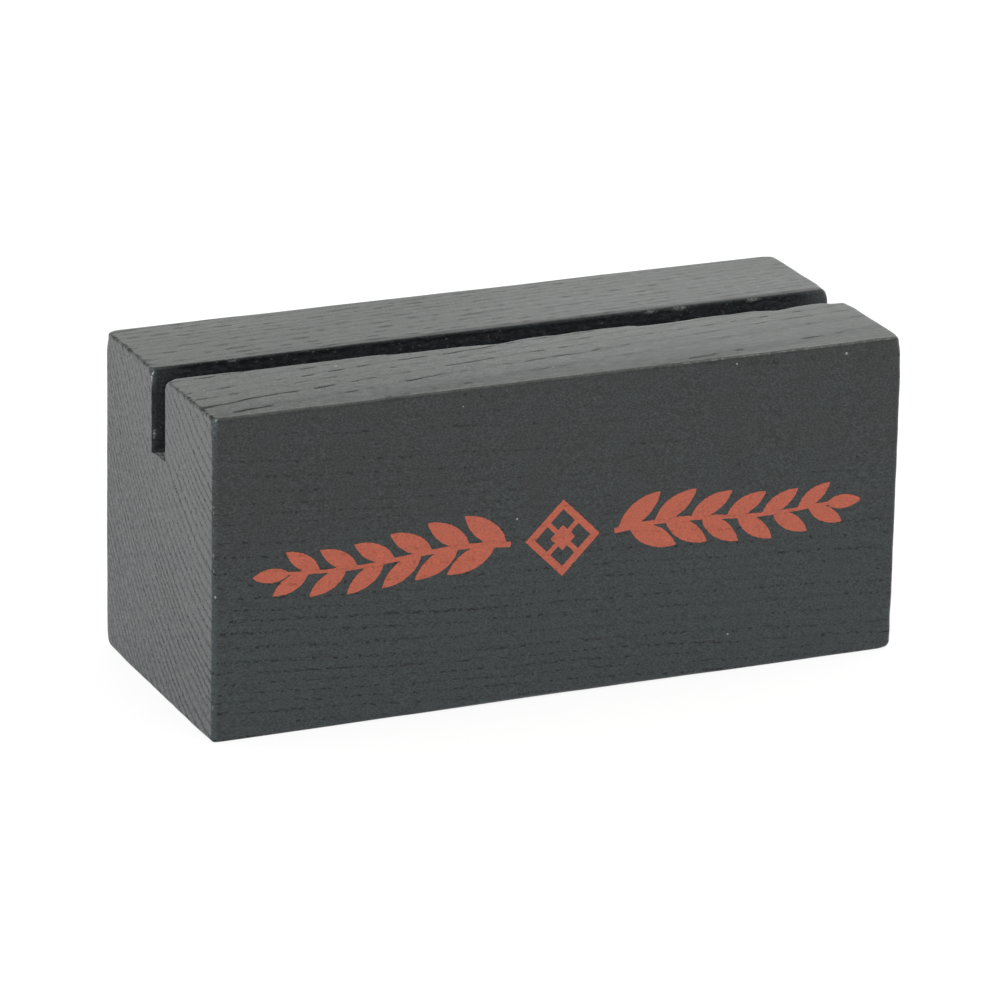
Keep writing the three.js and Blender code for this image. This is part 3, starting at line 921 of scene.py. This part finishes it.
    # the front strip is duller towards its front, the back strip next to the slot
    duller = n.mul(n.smooth(w["y"], -23.2, -15.5, 0.072, 0.0), n.smooth(w["x"], 20.0, 45.0, 1.0, 0.45))
    rough = n.add(rough, n.mul(front_strip, duller))
    rough = n.add(rough, n.mul(front_strip, n.smooth(w["y"], -15.0, -9.0, 0.0, -0.026)))
    by_slot = n.mul(n.smooth(w["y"], 5.3, 4.4, 0.0, 0.14), n.smooth(w["x"], -40.0, -10.0, 0.32, 1.0))
    by_back = n.mul(n.smooth(w["y"], 15.0, 22.0, 0.0, -0.035), n.smooth(w["x"], -40.0, 0.0, 1.0, 0.0))
    rough = n.add(rough, n.mul(w["rear"], n.add(by_slot, by_back)))
    slant = n.sub(w["z"], n.mul(w["y"], 0.66))
    rough = n.add(rough, n.mul(w["wave"], 0.036))
    shade = n.add(n.linear(slant, 8.0, 28.0, 0.051, 0.014), n.linear(slant, 28.0, 64.0, 0.0, -0.137))
    rough = n.add(rough, n.mul(w["end"], shade))
    rough = n.add(rough, n.mul(n.math("MAXIMUM", dark, n.mul(cut, 0.4)), 0.5))
    rough = n.add(rough, n.mul(deep, 0.2))
    n.tree.links.new(n.math("MINIMUM", rough, 0.98), shader.inputs["Roughness"])
    shader.inputs["IOR"].default_value = 1.5

    # relief, in millimetres
    h = n.mul(w["early"], -0.008)
    h = n.add(h, n.mul(dark, n.sub(-0.04, n.mul(w["top"], 0.03))))
    h = n.add(h, n.mul(w["checks"], -0.012))
    h = n.add(h, n.mul(w["fine"], 0.02))
    h = n.add(h, n.mul(w["streak"], 0.035))
    b = n.node("ShaderNodeBump")
    b.inputs["Strength"].default_value = 1.0
    b.inputs["Distance"].default_value = 0.001
    n.tree.links.new(h, b.inputs["Height"])
    n.tree.links.new(b.outputs[0], shader.inputs["Normal"])
    return m


def red_ink():
    m, n, shader = principled("red_ink")
    w = wood_figure(n)
    base = n.scaled((0.389, 0.0755, 0.0370), n.add(1.0, n.add(n.mul(w["fine"], 0.9), n.mul(w["streak"], 0.3))))
    base = n.mix(n.mul(w["pore"], 0.22), base, (0.05, 0.012, 0.009, 1.0))
    n.tree.links.new(base, shader.inputs["Base Color"])
    rough = n.add(0.5, n.mul(w["streak"], 0.2))
    n.tree.links.new(n.add(rough, n.mul(w["pore"], 0.3)), shader.inputs["Roughness"])
    h = n.add(n.mul(w["pore"], -0.03), n.add(n.mul(w["streak"], 0.02), n.mul(w["fine"], 0.012)))
    b = n.node("ShaderNodeBump")
    b.inputs["Distance"].default_value = 0.001
    n.tree.links.new(h, b.inputs["Height"])
    n.tree.links.new(b.outputs[0], shader.inputs["Normal"])
    return m


wood = stained_wood()
ink = red_ink()
block.data.materials.append(wood)
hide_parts("block")
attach(block, "root")

# ---------------------------------------------------------------- the print
INK = 0.03  # film thickness
PRINT_Z = 28.5
PRINT_HALF = 56.5
LOZENGE, LOZENGE_BAND, LOZENGE_CORE, LOZENGE_LINK = 6.9, 1.25, 2.3, 0.9
SPRAY_START, STEM = 9.6, 1.0
LEAF_PAIRS, LEAF_LONG, LEAF_SHRINK, LEAF_WIDE, LEAF_ANGLE = 6, 9.8, 0.945, 0.37, 34.0


def stem_point(t):
    x = SPRAY_START + t * (PRINT_HALF - 6.2 - SPRAY_START)
    return np.array([x, 0.75 * math.sin(t * math.pi * 2) * (1 - 0.4 * t)])


def stem_direction(t):
    v = stem_point(min(1.0, t + 0.01)) - stem_point(max(0.0, t - 0.01))
    return v / np.linalg.norm(v)


def leaf_outline(root, angle, length, bend, count=36):
    w = length * LEAF_WIDE
    c, s = math.cos(angle), math.sin(angle)

    def at(u, v):
        return root + np.array([u * c - v * s, u * s + v * c])

    def bezier(p0, p1, p2, p3):
        t = np.linspace(0, 1, count, endpoint=False)[:, None]
        return (1 - t) ** 3 * p0 + 3 * (1 - t) ** 2 * t * p1 + 3 * (1 - t) * t * t * p2 + t**3 * p3

    tip = at(length, bend * w)
    return np.concatenate([
        bezier(at(0, 0), at(length * 0.22, -w * 0.62), at(length * 0.66, -w * (0.72 - bend)), tip),
        bezier(tip, at(length * 0.66, w * (0.72 + bend)), at(length * 0.22, w * 0.62), at(0, 0)),
    ])


def spray_outlines(side):
    stem = [(stem_point(t), stem_direction(t), STEM / 2 * (1 - 0.45 * t)) for t in np.linspace(0, 1, 60)]
    lower = [p + np.array([q[1], -q[0]]) * w for p, q, w in stem]
    upper = [p - np.array([q[1], -q[0]]) * w for p, q, w in stem]
    shapes = [np.array(lower + upper[::-1])]
    for i in range(LEAF_PAIRS):
        long = LEAF_LONG * LEAF_SHRINK**i
        for up in (1, -1):
            t = (i + (0.12 if up > 0 else 0.42)) / LEAF_PAIRS
            q = stem_direction(t)
            angle = math.atan2(q[1], q[0]) + up * math.radians(LEAF_ANGLE)
            shapes.append(leaf_outline(stem_point(t), angle, long, -0.12 * up))
    end = stem_point(0.985)
    shapes.append(leaf_outline(end, 0.0, PRINT_HALF - end[0], 0.0))
    for shape in shapes:
        shape[:, 0] *= side
    return shapes


def distance_to(shape, px, pz):
    """Signed distance to a closed outline, negative inside."""
    best = np.full(px.shape, 1e9)
    inside = np.zeros(px.shape, bool)
    n = len(shape)
    for i in range(n):
        ax, az = shape[i]
        bx, bz = shape[(i + 1) % n]
        ex, ez = bx - ax, bz - az
        w = np.clip(((px - ax) * ex + (pz - az) * ez) / max(ex * ex + ez * ez, 1e-12), 0, 1)
        best = np.minimum(best, np.hypot(px - ax - w * ex, pz - az - w * ez))
        crosses = (az > pz) != (bz > pz)
        if crosses.any():
            with np.errstate(divide="ignore", invalid="ignore"):
                at = ax + (pz - az) * ex / ez
            inside ^= crosses & (px < at)
    return np.where(inside, -best, best)


def lozenge_field(px, pz):
    u = (px + pz) / math.sqrt(2)
    v = (pz - px) / math.sqrt(2)
    far = np.maximum(np.abs(u), np.abs(v))
    outer = LOZENGE / math.sqrt(2)
    band = np.maximum(far - outer, outer - LOZENGE_BAND - far)
    core = far - LOZENGE_CORE / math.sqrt(2)
    link = np.minimum(np.abs(u), np.abs(v)) - LOZENGE_LINK / 2
    link = np.maximum(link, far - outer + 0.2)
    return np.minimum(np.minimum(band, core), link)


def film(name, node, field, x0, x1, z0, z1, pitch=0.16):
    """A thin closed film over the places where the field is negative, on the block's front."""
    gx = np.arange(x0, x1 + pitch, pitch)
    gz = np.arange(z0, z1 + pitch, pitch)
    px, pz = np.meshgrid(gx, gz, indexing="ij")
    value = field(px, pz)
    ragged = 0.045 * noise2(px / 0.42, pz / 0.3, 50) + 0.03 * noise2(px / 0.9, pz / 0.17, 51)
    value = value + ragged
    value = np.where(np.abs(value) < 1e-4, 1e-4, value)
    made, vertices, polygons = {}, [], []

    def corner(i, j):
        key = ("c", i, j)
        if key not in made:
            made[key] = len(vertices)
            vertices.append((gx[i], gz[j]))
        return made[key]

    def crossing(i0, j0, i1, j1):
        key = ("e",) + min(((i0, j0), (i1, j1)), ((i1, j1), (i0, j0)))
        if key not in made:
            a, b = value[i0, j0], value[i1, j1]
            t = min(max(a / (a - b), 0.04), 0.96)
            made[key] = len(vertices)
            vertices.append((gx[i0] + t * (gx[i1] - gx[i0]), gz[j0] + t * (gz[j1] - gz[j0])))
        return made[key]

    for i in range(len(gx) - 1):
        for j in range(len(gz) - 1):
            ring = [(i, j), (i + 1, j), (i + 1, j + 1), (i, j + 1)]
            wet = [value[c] < 0 for c in ring]
            if not any(wet):
                continue
            if all(wet):
                polygons.append([corner(*c) for c in ring])
                continue
            middle = np.mean([value[c] for c in ring]) < 0
            if wet[0] == wet[2] and wet[1] == wet[3] and wet[0] != wet[1] and not middle:
                for a in range(4):  # two separate corners
                    if wet[a]:
                        here, after, before = ring[a], ring[(a + 1) % 4], ring[(a + 3) % 4]
                        polygons.append([corner(*here), crossing(*here, *after), crossing(*before, *here)])
                continue
            polygon = []
            for a in range(4):
                here, after = ring[a], ring[(a + 1) % 4]
                if wet[a]:
                    polygon.append(corner(*here))
                if wet[a] != wet[(a + 1) % 4]:
                    polygon.append(crossing(*here, *after))
            polygons.append(polygon)

    flat = np.array(vertices)
    # keep the largest connected sheet
    parent = list(range(len(flat)))

    def find(a):
        while parent[a] != a:
            parent[a] = parent[parent[a]]
            a = parent[a]
        return a

    for polygon in polygons:
        for a in polygon[1:]:
            parent[find(a)] = find(polygon[0])
    roots = [find(polygon[0]) for polygon in polygons]
    main = max(set(roots), key=roots.count)
    polygons = [p for p, r in zip(polygons, roots) if r == main]
    used = sorted({a for p in polygons for a in p})
    renumber = {a: i for i, a in enumerate(used)}
    polygons = [[renumber[a] for a in p] for p in polygons]
    flat = flat[used]
    y = -HALF_W + hollow_front(flat[:, 0], flat[:, 1] + PRINT_Z)
    front = np.stack([flat[:, 0], y - INK, flat[:, 1] + PRINT_Z], 1)
    back = front + np.array([0.0, INK + 0.012, 0.0])
    count = len(flat)
    faces = [p for p in polygons] + [[a + count for a in reversed(p)] for p in polygons]
    edges = {}
    for p in polygons:
        for a, b in zip(p, p[1:] + p[:1]):
            edges[(a, b)] = edges.get((a, b), 0) + 1
    for a, b in list(edges):
        if (b, a) not in edges:
            faces.append([b, a, a + count, b + count])
    o = mesh_object(name, np.concatenate([front, back]), faces)
    rim = len(polygons) * 2
    smooth = np.ones(len(o.data.polygons), bool)
    smooth[rim:] = False
    o.data.polygons.foreach_set("use_smooth", smooth)
    o.data.materials.append(ink)
    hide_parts(node)
    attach(o, "root")
    return o


def spray_field(side):
    outlines = spray_outlines(side)

    def field(px, pz):
        value = np.full(px.shape, 1e9)
        for shape in outlines:
            lo, hi = shape.min(0) - 1.2, shape.max(0) + 1.2
            near = (px > lo[0]) & (px < hi[0]) & (pz > lo[1]) & (pz < hi[1])
            if near.any():
                value[near] = np.minimum(value[near], distance_to(shape, px[near], pz[near]))
        return np.minimum(value, 1.2)

    return field


film("print_lozenge_finished", "print_lozenge", lozenge_field, -7.4, 7.4, -7.4, 7.4)
film("print_spray_left_finished", "print_spray_left", spray_field(-1), -57.0, -9.0, -7.2, 7.2)
film("print_spray_right_finished", "print_spray_right", spray_field(1), 9.0, 57.0, -7.2, 7.2)

# ---------------------------------------------------------------- floor
bpy.ops.mesh.primitive_plane_add(size=12.0, location=(0.0, 0.0, 0.0))
floor = bpy.context.object
floor.name = "floor"
pale = bpy.data.materials.new("pale_floor")
pale.use_nodes = True
shader = next(n for n in pale.node_tree.nodes if n.type == "BSDF_PRINCIPLED")
shader.inputs["Base Color"].default_value = (0.32, 0.32, 0.32, 1.0)
shader.inputs["Roughness"].default_value = 1.0
shader.inputs["Specular IOR Level"].default_value = 0.0
shader.inputs["Emission Color"].default_value = (1.0, 1.0, 1.0, 1.0)
shader.inputs["Emission Strength"].default_value = 0.8
floor.data.materials.append(pale)

# ---------------------------------------------------------------- soft studio light
world = bpy.data.worlds.new("studio")
bpy.context.scene.world = world
world.use_nodes = True
n = Nodes(world.node_tree)
background = next(node for node in world.node_tree.nodes if node.type == "BACKGROUND")
direction = n.node("ShaderNodeTexCoord").outputs["Generated"]
part = n.node("ShaderNodeSeparateXYZ")
n.tree.links.new(direction, part.inputs[0])
glow = n.smooth(part.outputs[2], 0.25, 0.95, 1.16, 0.8)
background.inputs["Color"].default_value = (0.975, 1.0, 0.97, 1.0)
n.tree.links.new(glow, background.inputs["Strength"])

panel = bpy.data.lights.new("panel", "AREA")
panel.shape = "SQUARE"
panel.size = 0.3
panel.energy = 0.07
lamp = bpy.data.objects.new("panel", panel)
lamp.location = (0.30, 0.35, 0.22)
lamp.rotation_euler = (Vector((0.03, 0.0, 0.03)) - lamp.location).to_track_quat("-Z", "Y").to_euler()
lamp.visible_camera = False
bpy.context.scene.collection.objects.link(lamp)

# ---------------------------------------------------------------- camera
scene = bpy.context.scene
LENGTH = 0.127
azimuth, elevation, roll = math.radians(-24.0165), math.radians(19.3827), math.radians(1.1166)
back = Vector((
    math.sin(azimuth) * math.cos(elevation),
    -math.cos(azimuth) * math.cos(elevation),
    math.sin(elevation),
))
right = Vector((math.cos(azimuth), math.sin(azimuth), 0.0))
up = back.cross(right)
right, up = (
    math.cos(roll) * right + math.sin(roll) * up,
    -math.sin(roll) * right + math.cos(roll) * up,
)
eye = (back * 8.61070 + right * 0.000707 + up * 0.199554) * LENGTH
camera = bpy.data.cameras.new("camera")
camera.sensor_width = 36.0
camera.lens = 36.0 * 6275.3 / 1000.0
camera.clip_start, camera.clip_end = 0.05, 50.0
view = bpy.data.objects.new("camera", camera)
view.matrix_world = Matrix((
    (right.x, up.x, back.x, eye.x),
    (right.y, up.y, back.y, eye.y),
    (right.z, up.z, back.z, eye.z),
    (0.0, 0.0, 0.0, 1.0),
))
scene.collection.objects.link(view)
scene.camera = view

scene.view_settings.view_transform = "Standard"
scene.view_settings.look = "None"
